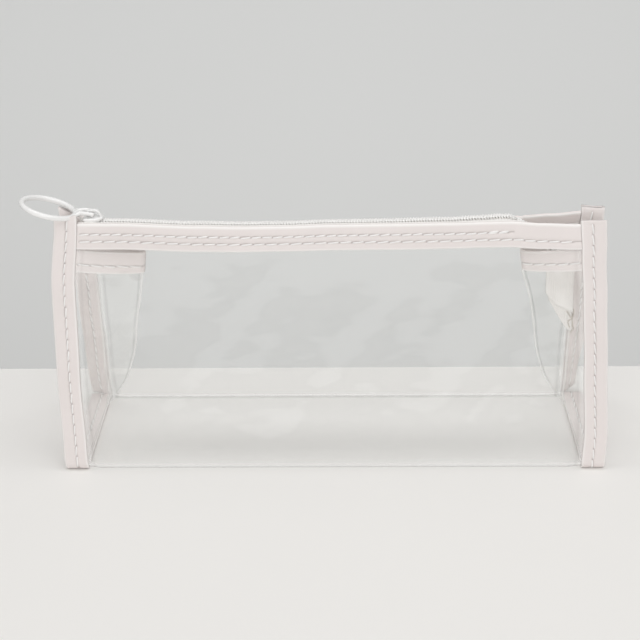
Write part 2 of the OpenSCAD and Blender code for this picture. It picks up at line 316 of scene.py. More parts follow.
class Run:
    """A line along which a folded strip lies: its inner edge, the way across it and its face's normal."""

    def __init__(self, origin, across, normal):
        self.origin = np.asarray(origin, float)
        self.across = unit(np.broadcast_to(across, self.origin.shape))
        self.normal = unit(np.broadcast_to(normal, self.origin.shape))
        self.s = distances(self.origin)
        self.length = self.s[-1]

    def at(self, table, s):
        return np.stack([np.interp(s, self.s, table[:, k]) for k in range(3)], -1)

    def point(self, s, across, out):
        s = np.asarray(s, float)
        across, out = np.broadcast_arrays(np.asarray(across, float), np.asarray(out, float))
        return (self.at(self.origin, s) + self.at(self.across, s) * across[..., None]
                + self.at(self.normal, s) * out[..., None])


def strip_outline(width, thickness, lines):
    """Closed outline of a folded strip as (across, out, face): face is 1 on the two faces.
    Columns lie closer together round the lines of stitches."""
    half = thickness / 2
    coarse = np.concatenate([[0.12, 0.4], np.arange(0.9, width - half - 0.3, 0.6), [width - half]])
    fine = np.concatenate([line + np.array([-0.7, -0.45, -0.22, 0, 0.22, 0.45, 0.7]) for line in lines])
    far = [u for u in coarse if np.min(np.abs(fine - u)) > 0.3]
    top = [(0.0, half - 0.16, 0)] + [(u, half, 1) for u in sorted(far + list(fine))]
    fold = [(width - half + half * math.sin(a), half * math.cos(a), 0)
            for a in np.linspace(0, math.pi, 9)[1:-1]]
    bottom = [(u, -v, f) for u, v, f in reversed(top)]
    slot_end = width - 1.3
    slot = [(0.02, -SLOT / 2, 0), (slot_end, -SLOT / 2, 0), (slot_end, SLOT / 2, 0), (0.02, SLOT / 2, 0)]
    return np.array(top + fold + bottom + slot, float)


def soft_shell(name, points, faces, attributes=None):
    """A closed piece of the soft pouch, settled from its straight design."""
    return settle_normals(add_mesh(name, settle(points), faces, attributes))


def folded_strip(name, run, width, thickness, rows, seed, wobble=0.12, shine=0.9):
    """A strip folded over the film's edge, pulled in along each row of stitches.
    rows is a list of (distance across, pitch, from, to); shine is how wide the painted highlight along the
    fold is."""
    outline = strip_outline(width, thickness, [row[0] for row in rows])
    stations = np.linspace(0, run.length, max(6, int(run.length / STATION_GAP)))
    u, v, face = outline.T
    # edge carries a painted highlight: the fold and the inner edge are lighter where light would catch them
    edge = np.clip(np.maximum(1 - u / 0.9, 1.5 * (1 - (width - u) / shine)), 0, 1) * (np.abs(v) > SLOT)
    puff = 0.06 * np.sin(np.pi * np.clip(u / width, 0, 1))
    points, painted_highlights, painted_stitch_shade = [], [], []
    for s in stations:
        dip, dark = np.zeros_like(u), np.zeros_like(u)
        for across, pitch, begin, end in rows:
            if begin <= s <= end:
                hole = (0.5 + 0.5 * math.cos(2 * math.pi * (s - begin) / pitch)) ** 5
                offset = u - across
                dip += STITCH_DIP * (0.55 + 0.9 * hole) * np.exp(-(offset / 0.42) ** 2)
                dip += 0.07 * np.exp(-(offset / 1.2) ** 2)
                # painted shade: a dark line along one side of each stitch and dark needle holes
                dark += 0.8 * (1 - hole) * np.exp(-((offset - 0.4) / 0.2) ** 2)
                dark += 0.75 * hole * np.exp(-(offset / 0.33) ** 2)
        out = v + np.sign(v) * face * (puff - dip)
        shift = wobble * waves(s, seed, 75, 2) * np.clip(1 - u / width, 0, 1)
        bow = wobble * waves(s, seed + 7, 90, 2)
        points.append(run.point(np.full_like(u, s), u + shift, out + bow * 0.6))
        painted_highlights.append(edge)
        painted_stitch_shade.append(np.clip(dark, 0, 1) * face)
    return soft_shell(name, points, tube_faces(len(stations), len(outline)), {"edge": painted_highlights, "seam": painted_stitch_shade})


def stitches(name, jobs):
    """Rows of lockstitches as one piece. Each job is (run, across, surface, pitch, from, to, seed)."""
    points, faces = [], []
    sides, rings = 8, 9
    angles = turns(sides)[:, None]
    for run, across, surface, pitch, begin, end, seed in jobs:
        rng = np.random.default_rng(seed)
        face = 1 if surface > 0 else -1
        for k in range(int((end - begin) / pitch)):
            start = begin + k * pitch
            slant = 0.24 + 0.06 * rng.standard_normal()
            drift = 0.06 * rng.standard_normal()
            t = np.linspace(0.06, 0.94, rings)
            s = start + pitch * t
            rise = np.sin(np.pi * t) ** 0.5
            side = across + drift + slant * (t - 0.5) * 2 * face
            out = surface - face * (STITCH_DIP + 0.1) + face * 0.5 * rise
            centre = run.point(s, side, out)
            along = unit(np.gradient(centre, axis=0))
            up = run.at(run.normal, s) * face
            lateral = unit(np.cross(along, up))
            up = np.cross(lateral, along)
            radius = THREAD_R * (0.55 + 0.45 * np.sin(np.pi * np.clip(t, 0.08, 0.92)) ** 0.4)
            base = len(points) * sides
            for c, l, w, r in zip(centre, lateral, up, radius):
                points.append(c + r * (np.cos(angles) * l + np.sin(angles) * w))
            faces += tube_faces(rings, sides, base)
    return soft_shell(name, np.array(points).reshape(-1, 3), faces)


# ---- Runs of the strips -------------------------------------------------------------
CORNER_STITCH = 0.44 * BINDING_W
CORNER_PITCH = 4.4
BEND_R = 1.2
BACK_FLARE = {-1: 16, 1: 46}         # degrees, at the left and right back corners
# How far each strip's top rises from its outer to its inner edge, by (side, back).
TOP_TWIST = {(-1, False): 1.9, (-1, True): -4.6, (1, False): 0.0, (1, True): 0.0}
JOIN_IN = 2.4
BOTTOM_JOIN = HALF_BASE - JOIN_IN    # where a corner strip's bent foot meets the bottom strip
SLOPE = np.array([math.sin(LEAN), math.cos(LEAN)])      # up the front side, in (y, z)
LEVEL = np.array([1.0, 0.0])


def bend(corner, first, last, radius, count):
    """A round bend between two ways out of a corner: how far along them it reaches, and its points."""
    half_turn = math.acos(float(first @ last)) / 2
    tangent = radius / math.tan(half_turn)
    centre = corner + unit(first + last) * radius / math.sin(half_turn)
    begin, end = (math.atan2(*(corner + way * tangent - centre)[::-1]) for way in (first, last))
    end += 2 * math.pi * round((begin - end) / (2 * math.pi))
    turns = np.linspace(begin, end, count)
    return tangent, [centre + radius * np.array([math.cos(a), math.sin(a)]) for a in turns]


def corner_path(turns_under):
    """Middle line of a corner strip in (y, z), as on the front: down the slope, round the crease and onto
    the table. A back one stops at the crease instead."""
    mid_z = CORNER_T / 2
    corner = CREASE[1:] + SLOPE * (mid_z - CREASE[2]) / SLOPE[1]
    top = CREASE[1:] + SLOPE * CORNER_TOP
    if not turns_under:
        return np.linspace(top, corner + SLOPE * CORNER_T / 2, 60)
    tangent, arc = bend(corner, SLOPE, LEVEL, BEND_R, 12)
    down = [top + (corner + SLOPE * tangent - top) * t for t in np.linspace(0, 1, 60)[:-1]]
    return np.array(down + arc + [np.array([-BOTTOM_JOIN, mid_z])])


def corner_run(side, back):
    path = corner_path(not back)
    ahead = unit(np.gradient(path, axis=0))
    normal = np.stack([np.zeros(len(path)), ahead[:, 1], -ahead[:, 0]], -1)
    across = np.broadcast_to([side, 0.0, 0.0], normal.shape)
    # the back strips flare away from the pouch towards their feet
    flare = math.radians(BACK_FLARE[side]) if back else 0.0
    height = path[:, 1]
    turn = flare * smooth(60, 4, height)[:, None]
    across, normal = (np.cos(turn) * across + np.sin(turn) * normal,
                      np.cos(turn) * normal - np.sin(turn) * across)
    origin = np.stack([np.full(len(path), side * BINDING_IN), path[:, 0], path[:, 1]], -1)
    up = -np.stack([np.zeros(len(path)), ahead[:, 0], ahead[:, 1]], -1)
    rise = TOP_TWIST[side, back] * smooth(78, 99, height)[:, None] * up
    origin, across = origin + rise, across - rise / BINDING_W
    if back:
        # their tops lie back a little
        origin[:, 1] -= 0.055 * np.clip(height - 93, 0, None) ** 2
        for table in (origin, across, normal):
            table[:, 1] *= -1
    return Run(origin, across, normal)


def bottom_run(side):
    y = np.linspace(-BOTTOM_JOIN, HALF_BASE - 0.4, 40)
    origin = np.stack([np.full_like(y, side * BINDING_IN), y, np.full_like(y, CORNER_T / 2)], -1)
    return Run(origin, (side, 0, 0), (0, 0, 1))


def top_run(back):
    x = np.linspace(-BINDING_IN + 0.1, BINDING_IN - 0.1, 260)
    origin = on_side(x, STRIP_BOTTOM, 0, back)
    across = on_side(0, 1, 0, back) - on_side(0, 0, 0, back)
    normal = on_side(0, 0, 1, back) - on_side(0, 0, 0, back)
    return Run(origin, across, normal)


# ---- Gussets ------------------------------------------------------------------------
GUSSET_STRIP_T = 1.4
GUSSET_DIP = 3.9                    # how much lower the strip is at the fold than at the corners
GUSSET_STRIP_W = GUSSET_STRIP_HIGH[2] - GUSSET_STRIP_LOW[2] - GUSSET_DIP
GUSSET_WIDTHS = {-1: GUSSET_STRIP_W, 1: GUSSET_STRIP_W - 0.5}
FOLD_R = 1.7                        # radius of the fold's tip
APEX_Z = 13.0                       # where the two creases from the lower corners meet the fold
SEAM_X = BINDING_IN + 0.7
# Half a gusset lies flat as half the base and its seam wide, by the gusset's height.
# How far in the fold's tip is, at heights up the gusset, as a share of its depth under the strip.
FOLD_PROFILE = [(2, 0.0), (8, 0.05), (15.5, 0.27), (23.7, 0.52), (31.7, 0.65), (39.3, 0.74), (62, 0.88),
                (74, 0.95), (84, 1.0), (88, 1.0)]
FOLD_DEPTH = SEAM_X - (GUSSET_STRIP_LOW[0] + GUSSET_STRIP_T / 2)


def fold_at(side, z):
    """How far in the fold's tip is at height z. The tail pushes the right one out a little."""
    heights, shares = np.array(FOLD_PROFILE).T
    near = sum(np.interp(z + step, heights, shares) for step in (-4, -2, 0, 2, 4)) / 5
    pushed = 1 - 0.09 * smooth(4, 20, z) * smooth(78, 62, z) if side > 0 else 1.0
    return 0.3 + FOLD_DEPTH * near * pushed


def fold_section(side, share, z, gap):
    """Depth in from the seams and distance from the middle plane, where share is 0 at the fold and 1 at a
    seam: a flat tip, a round bend and a straight flank. Third comes the distance past the bend's middle."""
    depth = fold_at(side, z)
    radius = np.minimum(FOLD_R, 0.4 * depth)
    flat = gap * np.clip(1 - (z - 2) / (APEX_Z - 2), 0, 0.86)
    cx = depth - radius
    to_centre = np.hypot(cx, flat - gap)
    flank = np.sqrt(np.maximum(to_centre ** 2 - radius ** 2, 1e-6))
    heading = np.arctan2(flat - gap, cx) + np.arcsin(np.clip(radius / to_centre, 0, 1))
    bend = heading + np.pi / 2
    way = share * (flat + radius * bend + flank)
    angle = np.clip((way - flat) / radius, 0, bend)
    left = np.clip(way - flat - radius * bend, 0, None)
    x = cx + radius * np.cos(angle) - left * np.cos(heading)
    y = np.minimum(way, flat) + radius * np.sin(angle) - left * np.sin(heading)
    return x, y, (way - flat - radius * bend / 2) / 0.6


def gusset_point(side, s, z, bind):
    """A point of a gusset: s from -1 at the front seam to 1 at the back seam, bind 1 under its strip."""
    s, z, bind = np.broadcast_arrays(np.asarray(s, float), np.asarray(z, float), np.asarray(bind, float))
    out = 0.3 + bind * (CORNER_T + GUSSET_STRIP_T - 1.0) / 2
    depth, y, _ = fold_section(side, np.abs(s), z, side_gap(z, out))
    if side > 0:
        depth = depth * (1 - 0.04 * bind)
    seam = smooth(0.94, 1.0, np.abs(s)) * (1 - bind) * 0.9
    return np.stack([side * (SEAM_X - depth + seam), np.sign(s) * y, z], -1)


def gusset_edge(s):
    return GUSSET_TOP - GUSSET_DIP * (1 - np.abs(s) ** 1.4)


def gusset_film_grid(side, back):
    """Half a gusset's film, from the fold to the front or back seam, and the painted highlight and shade
    along its creases.
    """
    way = 1 if back else -1
    s = way * np.linspace(0, 1, 70) ** 1.5
    s[0] = way * 1e-6
    edge = gusset_edge(s) - 1.0
    room = smooth(0, 0.3, 1 - np.abs(s)) * smooth(0, 0.2, np.abs(s))
    rows, creases = [], []
    for t in np.linspace(0, 1, 110) ** 1.25:
        z = 2.4 + (edge - 2.4) * t
        creases.append(fold_section(side, np.abs(s), z, side_gap(z, 0.3))[2])
        p = gusset_point(side, s, z, smooth(-15, -GUSSET_STRIP_W, z - GUSSET_TOP))
        ripple = waves(z + 20 * np.abs(s), 31 if back else 32, 42) * room * smooth(8, 30, z)
        p[:, 1] += 0.4 * way * ripple
        p[:, 0] += 0.25 * side * waves(z, 33, 60) * smooth(0.5, 0, np.abs(s)) * smooth(10, 30, z)
        rows.append(p)
    foot_y = rows[0][:, 1]
    foot = [
        np.stack([np.full_like(s, side * x), foot_y, np.full_like(s, z)], -1)
        for x, z in ((SEAM_X + 1.2, 1.0), (SEAM_X + 0.1, 1.05), (SEAM_X - 0.3, 1.5))
    ]
    from_bend = np.array([np.full_like(s, 9.0)] * 3 + creases)
    # painted highlight along the fold's tip, partly the film's own whitening, and painted shade on its flanks
    # where they are seen edge on
    white = np.exp(-(from_bend / 1.1) ** 2)
    shade = 0.6 * np.exp(-((np.abs(from_bend) - 2.4) / 0.6) ** 2)
    # a painted highlight line, partly the film's own whitening, with painted shade lines beside it where the
    # film turns up off the table
    grid = np.array(foot + rows)
    height = grid[..., 2]
    white += np.exp(-((height - 1.9) / 0.5) ** 2)
    shade += np.exp(-((height - 1.0) / 0.3) ** 2) + np.exp(-((height - 3.1) / 0.5) ** 2)
    return settle(grid), np.clip(white, 0, 1), np.clip(shade, 0, 1)


def gusset_strip_run(side):
    s = np.sign(np.linspace(-1, 1, 160)) * np.abs(np.linspace(-1, 1, 160)) ** 1.4
    edge = gusset_edge(s)
    low = gusset_point(side, s, edge - GUSSET_WIDTHS[side], 1.0)
    high = gusset_point(side, s, edge, 1.0)
    across = unit(high - low)
    normal = unit(np.cross(np.gradient(low, axis=0), across)) * side
    return Run(low, across, normal)


# ---- Body film ----------------------------------------------------------------------
FILM_CREASE_R = 1.1
FILM_MARGIN = 1.6                   # the film stops this far short of the bindings' folds
FILM_UNDER = 1.4                    # and this far below the tops of the strips
LIFT = (CORNER_T - FILM_T) / 2


def crease_profile():
    """(y, z) of the film from just inside the front crease to the top of the front side."""
    corner = CREASE[1:]
    tangent, arc = bend(corner, LEVEL, SLOPE, FILM_CREASE_R, 10)
    rest = [corner + SLOPE * u for u in np.linspace(tangent, STRIP_TOP - FILM_UNDER, 56)[1:]]
    return np.array([[-BOTTOM_JOIN, CREASE[2]]] + arc + rest)


FILM_END = np.concatenate([np.arange(-7, 1.2, 0.4), np.linspace(2, BINDING_W - FILM_MARGIN, 6)])
FILM_X = np.concatenate([
    -(BINDING_IN + FILM_END)[::-1],
    np.linspace(-BINDING_IN + 9, BINDING_IN - 9, 80),
    BINDING_IN + FILM_END,
])


def end_lift(x, z):
    """The film rises off the table into the slots of the bottom strips."""
    return LIFT * smooth(BINDING_IN - 6, BINDING_IN, np.abs(x)) * np.exp(-np.clip(z, 0, None) / 6)


def side_film_grid(back):
    profile = crease_profile()
    x, y = np.meshgrid(FILM_X, profile[:, 0])
    z = np.meshgrid(FILM_X, profile[:, 1])[1]
    up = z / math.cos(LEAN)
    room = smooth(0, 22, BINDING_IN - np.abs(x)) * smooth(2, 26, up) * smooth(0, 18, STRIP_BOTTOM - up)
    seed = 51 if back else 41
    swell = 0.5 * waves(x + 0.35 * up, seed, 120) + 0.28 * waves(x - 0.8 * up, seed + 1, 46, 3)
    out = room * swell
    y = y - out * math.cos(LEAN)
    z = z + out * math.sin(LEAN) + end_lift(x, z)
    # a painted highlight, partly the film's own whitening, along the crease at the table, which is the
    # profile's arc, and beside the bindings, with painted shade lines next to both
    place = np.arange(len(profile))[:, None]
    seam = np.abs(np.abs(FILM_X)[None, :] - BINDING_IN + 0.9)
    bright, dark, spread = (7.0, 3.0, 2.0) if back else (9.5, 5.0, 1.0)
    at_seam = 0.8 if back else 0.3
    white = 0.6 * np.exp(-((place - bright) / spread) ** 2) + at_seam * np.exp(-(seam / 0.7) ** 2)
    shade = 0.9 * np.exp(-((place - dark) / 2.4) ** 2)
    shade = shade + (0.7 if back else 0.3) * np.exp(-((seam - 1.6) / 0.6) ** 2)
    return settle(np.stack([x, -y if back else y, z], -1)), white, shade


def bottom_film_grid():
    x, y = np.meshgrid(FILM_X, np.linspace(-BOTTOM_JOIN, BOTTOM_JOIN, 36))
    room = smooth(0, 16, BINDING_IN - 6 - np.abs(x)) * smooth(0, 8, HALF_BASE - np.abs(y))
    ridge = 0.55 * np.exp(-((y + 17 + 2 * waves(x, 63, 90)) / 2.2) ** 2) * smooth(70, 10, x)
    z = CREASE[2] + room * (0.12 + 0.12 * waves(x + 2 * y, 61, 60) + ridge) + end_lift(x, 0)
    return np.stack([x, y, z], -1)


# ---- Zipper -------------------------------------------------------------------------
COIL_PITCH = 1.14
WIRE_R = 0.275
OVERLAP = 0.42                      # how far each row's teeth reach past the middle
TAPE_T = 0.32
TAPE_Z = COIL_LOW[2] - TAPE_T / 2 - 0.02
CHAIN_START = COIL_LOW[0]

# The closed tail past the zipper's end, as steps (along x, down): over the gusset's edge and down outside it.
TAIL_STEPS = [(0, 0), (3.6, 1.8), (7.4, 3.4), (11.2, 5.6), (14.2, 9.0), (16.2, 13.6), (17.6, 20.6),
              (18.4, 28.5)]
TAIL_TURNS = [(0, 0), (9, 5), (14, 20), (20, 48), (27, 72), (36, 80), (46, 82)]    # (along it, degrees)


def rounded_line(points, count):
    """A smooth line through the points, in count steps of even length."""
    p = np.array(points, float)
    p = np.vstack([2 * p[0] - p[1], p, 2 * p[-1] - p[-2]])
    t = np.linspace(0, 1, 24, endpoint=False)[:, None]
    line = []
    for a, b, c, d in zip(p, p[1:], p[2:], p[3:]):
        line.append(0.5 * (2 * b + (c - a) * t + (2 * a - 5 * b + 4 * c - d) * t ** 2
                           + (3 * b - a - 3 * c + d) * t ** 3))
    line = np.vstack(line + [p[-2:-1]])
    s = distances(line)
    even = np.linspace(0, s[-1], count)
    return np.stack([np.interp(even, s, line[:, k]) for k in range(line.shape[1])], -1)


def tail_run():
    """The tail's middle line, the way across it and its face's normal."""
    steps = np.array(TAIL_STEPS, float)
    top = TAPE_Z + chain_rise(CHAIN_END)
    line = rounded_line(np.stack([CHAIN_END + steps[:, 0], 0 * steps[:, 0], top - steps[:, 1]], -1), 120)
    ahead = unit(np.gradient(line, axis=0))
    s = distances(line)
    turn = np.radians(through(TAIL_TURNS, s))[:, None]
    flat = np.array([0, 1.0, 0])
    face = np.cross(ahead, flat)
    across = np.cos(turn) * flat + np.sin(turn) * face
    return Run(line, across, unit(np.cross(across, ahead)) * -1)


def coil_points(length, back):
    """Rings of a coil row's wire, as (along, across, up) about the chain's middle line on its tape."""
    way = 1 if back else -1
    radius_y = (COIL_HALF + OVERLAP) / 2 - WIRE_R
    middle_y = (COIL_HALF - OVERLAP) / 2
    radius_z = COIL_H / 2 - WIRE_R
    steps, sides = 16, 6
    theta = np.arange(0, int(length / COIL_PITCH) * steps) * 2 * np.pi / steps
    c, s = np.cos(theta), np.sin(theta)
    y = -np.sign(c) * np.abs(c) ** 0.75 * radius_y + middle_y
    z = np.sign(s) * np.abs(s) ** 0.75 * radius_z + COIL_H / 2 + TAPE_T / 2 - 0.12 * (y + OVERLAP)
    # the wire crosses the chain squarely and steps forward round its outer bends
    step = theta / (2 * np.pi) + 0.10 * np.sin(2 * theta)
    x = COIL_PITCH * (step + (0.5 if back else 0.0))
    line = np.stack([x, way * y, z], -1)
    ahead = unit(np.gradient(line, axis=0))
    side = unit(np.cross(ahead, (1, 0, 0)))
    up = np.cross(side, ahead)
    head = 1 + 0.35 * np.clip(c, 0, 1) ** 6
    angles = turns(sides)[None, :, None]
    ring = np.cos(angles) * side[:, None] + np.sin(angles) * up[:, None]
    return line[:, None] + ring * (WIRE_R * head)[:, None, None], sides


def coil_core(length, back):
    """Rings of the cord that fills a coil row."""
    way = 1 if back else -1
    x = np.linspace(0, length, int(length / 1.5))[:, None]
    a = turns(8)[None, :]
    y = way * (COIL_HALF - OVERLAP) / 2 + 0.4 * np.cos(a)
    z = COIL_H / 2 + TAPE_T / 2 + 0.22 * np.sin(a)
    return np.stack(np.broadcast_arrays(x, y, z), -1), 8


def coil_row(length, back):
    """Points about the chain's middle line and faces of one coil row, wire and filler cord."""
    shells = (coil_points(length, back), coil_core(length, back))
    return join((rings, tube_faces(len(rings), sides)) for rings, sides in shells)


def coil(name, back):
    points, faces = coil_row(CHAIN_END - CHAIN_START, back)
    points = points + np.array([CHAIN_START, 0, TAPE_Z])
    points[:, 2] += chain_rise(points[:, 0])
    return soft_shell(name, points, faces)


def tail_coil(name, run, length):
    """Both rows of the closed coil along the tail."""
    flat, faces = join(coil_row(length, back) for back in SIDES)
    return soft_shell(name, run.point(*flat.T), faces)


def tape_grid(back):
    """A tape from under the coil to the strip's inner face, then down it."""
    x = np.linspace(-BINDING_IN + 0.4, BINDING_IN - 0.4, 300)
    inner = STRIP_T / 2 + TAPE_T / 2 + 0.12
    down = [on_side(0, up, -inner)[1:] for up in np.linspace(STRIP_TOP - 1.6, STRIP_BOTTOM + 1.2, 10)]
    edge = down[0][0]
    level = [(-0.35, TAPE_Z), (-1.2, TAPE_Z), (-2.0, TAPE_Z), (-2.8, TAPE_Z + 0.4), (-3.7, TAPE_Z + 0.9),
             (edge + 0.5, TAPE_Z + 1.0)]
    profile = rounded_line(np.array(level + [tuple(p) for p in down]), 40)[:, :, None]
    # past the chain's end it turns away and down beside the strip
    gone = smooth(CHAIN_END + 1, CHAIN_END + 8, x)
    flat = [on_side(0, up, -inner)[1:] for up in np.linspace(STRIP_TOP - 5, STRIP_BOTTOM + 1.2, 40)]
    profile = (1 - gone) * profile + gone * np.array(flat)[:, :, None]
    rise = chain_rise(x) * smooth(4.6, 2.2, np.abs(profile[:, 0])) * (1 - gone)
    y = -profile[:, 0] if back else profile[:, 0]
    return settle(np.stack([np.broadcast_to(x, y.shape), y, profile[:, 1] + rise], -1))


def tail_tape(run, length, half_width, end_width):
    s = np.linspace(0, length, 60)
    widths = half_width + (end_width - half_width) * smooth(0.25 * length, length, s)
    grid = [run.point(np.full(9, d), np.linspace(-w, w, 9), 0.0) for d, w in zip(s, widths)]
    return settle(np.array(grid))


# ---- Slider and pull ----------------------------------------------------------------
def blob(name, parts, voxel):
    """Closed shells melted into one casting with soft edges. Parts are (points, faces) in millimetres."""
    mesh = bpy.data.meshes.new(name)
    points, faces = join(parts)
    mesh.from_pydata(points.tolist(), [], faces)
    obj = settle_normals(put(name, mesh))
    remesh = obj.modifiers.new("melt", "REMESH")
    remesh.mode = "VOXEL"
    remesh.voxel_size = voxel
    soften = obj.modifiers.new("soften", "SMOOTH")
    soften.factor = 0.5
    soften.iterations = 5
    apply_modifiers(obj)
    obj.data.transform(Matrix.Scale(MM, 4))
    return obj


def capsule(path, radii, sides=20):
    """A round bar along a path, with round ends."""
    path, radii = np.array(path, float), np.array(radii, float)
    ahead = unit(np.gradient(path, axis=0))
    first, last = ahead[0], ahead[-1]
    caps = [(-0.97, 0.25), (-0.8, 0.6), (-0.45, 0.89)]
    line = [path[0] + first * radii[0] * a for a, _ in caps] + list(path)
    line += [path[-1] - last * radii[-1] * a for a, _ in reversed(caps)]
    size = [radii[0] * b for _, b in caps] + list(radii) + [radii[-1] * b for _, b in reversed(caps)]
    ways = [first] * 3 + list(ahead) + [last] * 3
    angles = turns(sides)[:, None]
    points = []
    for c, r, w in zip(line, size, ways):
        side = unit(np.cross(w, (0, 0, 1.0) if abs(w[2]) < 0.9 else (0, 1.0, 0)))
        up = np.cross(side, w)
        points.append(c + r * (np.cos(angles) * side + np.sin(angles) * up))
    return np.concatenate(points), tube_faces(len(line), sides)


def torus(radius, tube):
    """Points and faces of a ring about the origin, lying level."""
    around, sides = 96, 24
    a, b = turns(around)[:, None], turns(sides)[None, :]
    out = radius + tube * np.cos(b)
    high = np.broadcast_to(tube * np.sin(b), (around, sides))
    points = np.stack([out * np.cos(a), out * np.sin(a), high], -1)
    faces = [
        (r * sides + c, r * sides + (c + 1) % sides,
         ((r + 1) % around) * sides + (c + 1) % sides, ((r + 1) % around) * sides + c)
        for r in range(around) for c in range(sides)
    ]
    return points.reshape(-1, 3), faces


def slab(outline, low, high):
    """A plate with this outline, between two heights."""
    outline = np.array(outline, float)
    n = len(outline)
    points = np.vstack([np.column_stack([outline, np.full(n, level)]) for level in (low, high)])
    faces = [tuple(range(n))[::-1], tuple(range(n, 2 * n))]
    faces += [(k, (k + 1) % n, n + (k + 1) % n, n + k) for k in range(n)]
    return points, faces


def shield(length, width):
    """Outline of a slider from above: wide and forked at its left, narrower at its right end."""
    half = []
    for t in np.linspace(0, 1, 28):
        x = -length / 2 + length * t
        wide = width / 2 * (1 - 0.34 * smooth(0.35, 1.0, t))
        tip = math.sqrt(max(0.0, 1 - max(0.0, (t - 0.8) / 0.2) ** 2 * 0.75))
        lead = math.sqrt(max(0.0, 1 - max(0.0, (0.16 - t) / 0.16) ** 2 * 0.4))
        half.append((x, wide * tip * lead))
    return half + [(x, -y) for x, y in reversed(half)]


PLATE_T = 1.0
WALL_T = 1.0
RING_MIDDLE = np.array([-17.3, 0, 2.6])     # from the cross bar
RING_TILT, RING_ROLL = math.radians(16.5), math.radians(-5.0)
RING_TURN = np.array(Matrix.Rotation(RING_TILT, 3, "Y") @ Matrix.Rotation(RING_ROLL, 3, "X"))
RING_TUBE = 1.1
ARM_Y = 1.9                                 # the neck's arms beside the bridge
BRIDGE_H = 3.0
BRIDGE_R = 0.46
SLIDER_VOXEL, PULL_VOXEL = 0.13, 0.15       # how finely the shells are melted together


def slider(name):
    low, high = SLIDER_LOW, SLIDER_HIGH
    length = high[0] - low[0]
    width = high[1] - low[1]
    middle = (low[0] + high[0]) / 2
    plate_top = high[2] - BRIDGE_H
    crown = high[2] - BRIDGE_R
    bridge = [(-3.0, plate_top - 0.5), (-2.95, plate_top + 0.5), (-2.4, crown - 0.75), (-1.2, crown),
              (0, crown + 0.02), (1.2, crown - 0.05), (2.35, crown - 0.85), (3.0, plate_top + 0.45),
              (3.1, plate_top - 0.5)]
    arch = rounded_line([(x, 0, z) for x, z in bridge], 40)
    parts = [
        slab(shield(length - 0.3, width - 0.3), plate_top - PLATE_T, plate_top - 0.12),
        slab(shield(length - 1.0, width - 1.0), plate_top - PLATE_T, plate_top + 0.05),
        slab(shield(length - 0.3, width - 0.3), low[2] + 0.1, low[2] + PLATE_T),
        *(capsule(arch + np.array([0, y, 0]), [r] * len(arch))
          for y, r in ((-0.42, BRIDGE_R), (0.42, BRIDGE_R), (0, 0.44))),
        capsule([(-length / 2 + 0.9, 0, low[2] + 0.5), (-length / 2 + 0.9, 0, plate_top - 0.5)], [0.6, 0.6]),
    ]
    outline = np.array(shield(length - 0.3, width - 0.3))
    for way in (-1, 1):
        edge = outline[outline[:, 1] * way > 0]
        edge = edge[np.argsort(edge[:, 0])]
        edge = edge[(edge[:, 0] > -length / 2 + 0.8) & (edge[:, 0] < length / 2 - 1.2)]
        inner = edge - np.array([0, way * WALL_T])
        wall = np.vstack([edge, inner[::-1]])
        # the walls hang from the top plate and stop above the tapes' slots
        parts.append(slab(wall, plate_top - PLATE_T - 0.35, plate_top - 0.3))
    placed = [(np.asarray(p) + np.array([middle, 0, 0]), f) for p, f in parts]
    return blob(name, placed, SLIDER_VOXEL)


def pull(name):
    """The ring, its forked neck and the cross bar under the slider's bridge, cast in one.
    The neck is cranked: its arms lie nearly level and the ring stands steeper."""
    radius = (PULL_HIGH[1] - PULL_LOW[1]) / 2 - RING_TUBE + 0.05

    def on_ring(angle):
        return RING_MIDDLE + RING_TURN @ (radius * np.array([math.cos(angle), math.sin(angle), 0]))

    hoop, faces = torus(radius, RING_TUBE)
    parts = [(hoop @ RING_TURN.T + RING_MIDDLE, faces)]
    for way in (-1, 1):
        arm = [(0.3, way * ARM_Y, 0.5), (-1.6, way * 1.92, 0.8), (-3.4, way * 1.85, 0.95),
               (-5.0, way * 1.6, 0.9), (-6.3, way * 1.3, 0.4)]
        parts.append(capsule(rounded_line(arm, 24), np.linspace(0.68, 0.95, 24)))
        wing = [(-4.9, way * 1.75, 0.85), (-6.3, way * 2.9, 0.5), on_ring(way * 0.5), on_ring(way * 0.72)]
        parts.append(capsule(rounded_line(wing, 18), np.linspace(0.8, 0.98, 18)))
        web = [(-5.0, way * 1.2, 0.8), on_ring(way * 0.1)]
        parts.append(capsule(rounded_line(web, 8), [0.8] * 8))
        root = [(0, way * ARM_Y, 0), (0.15, way * ARM_Y, 0.3), (0.3, way * ARM_Y, 0.5)]
        parts.append(capsule(root, [0.6, 0.64, 0.68]))
    parts.append(capsule([(0, -ARM_Y, 0), (0, 0, 0), (0, ARM_Y, 0)], [0.55] * 3))
    return blob(name, [(np.asarray(p) + PIVOT, f) for p, f in parts], PULL_VOXEL)


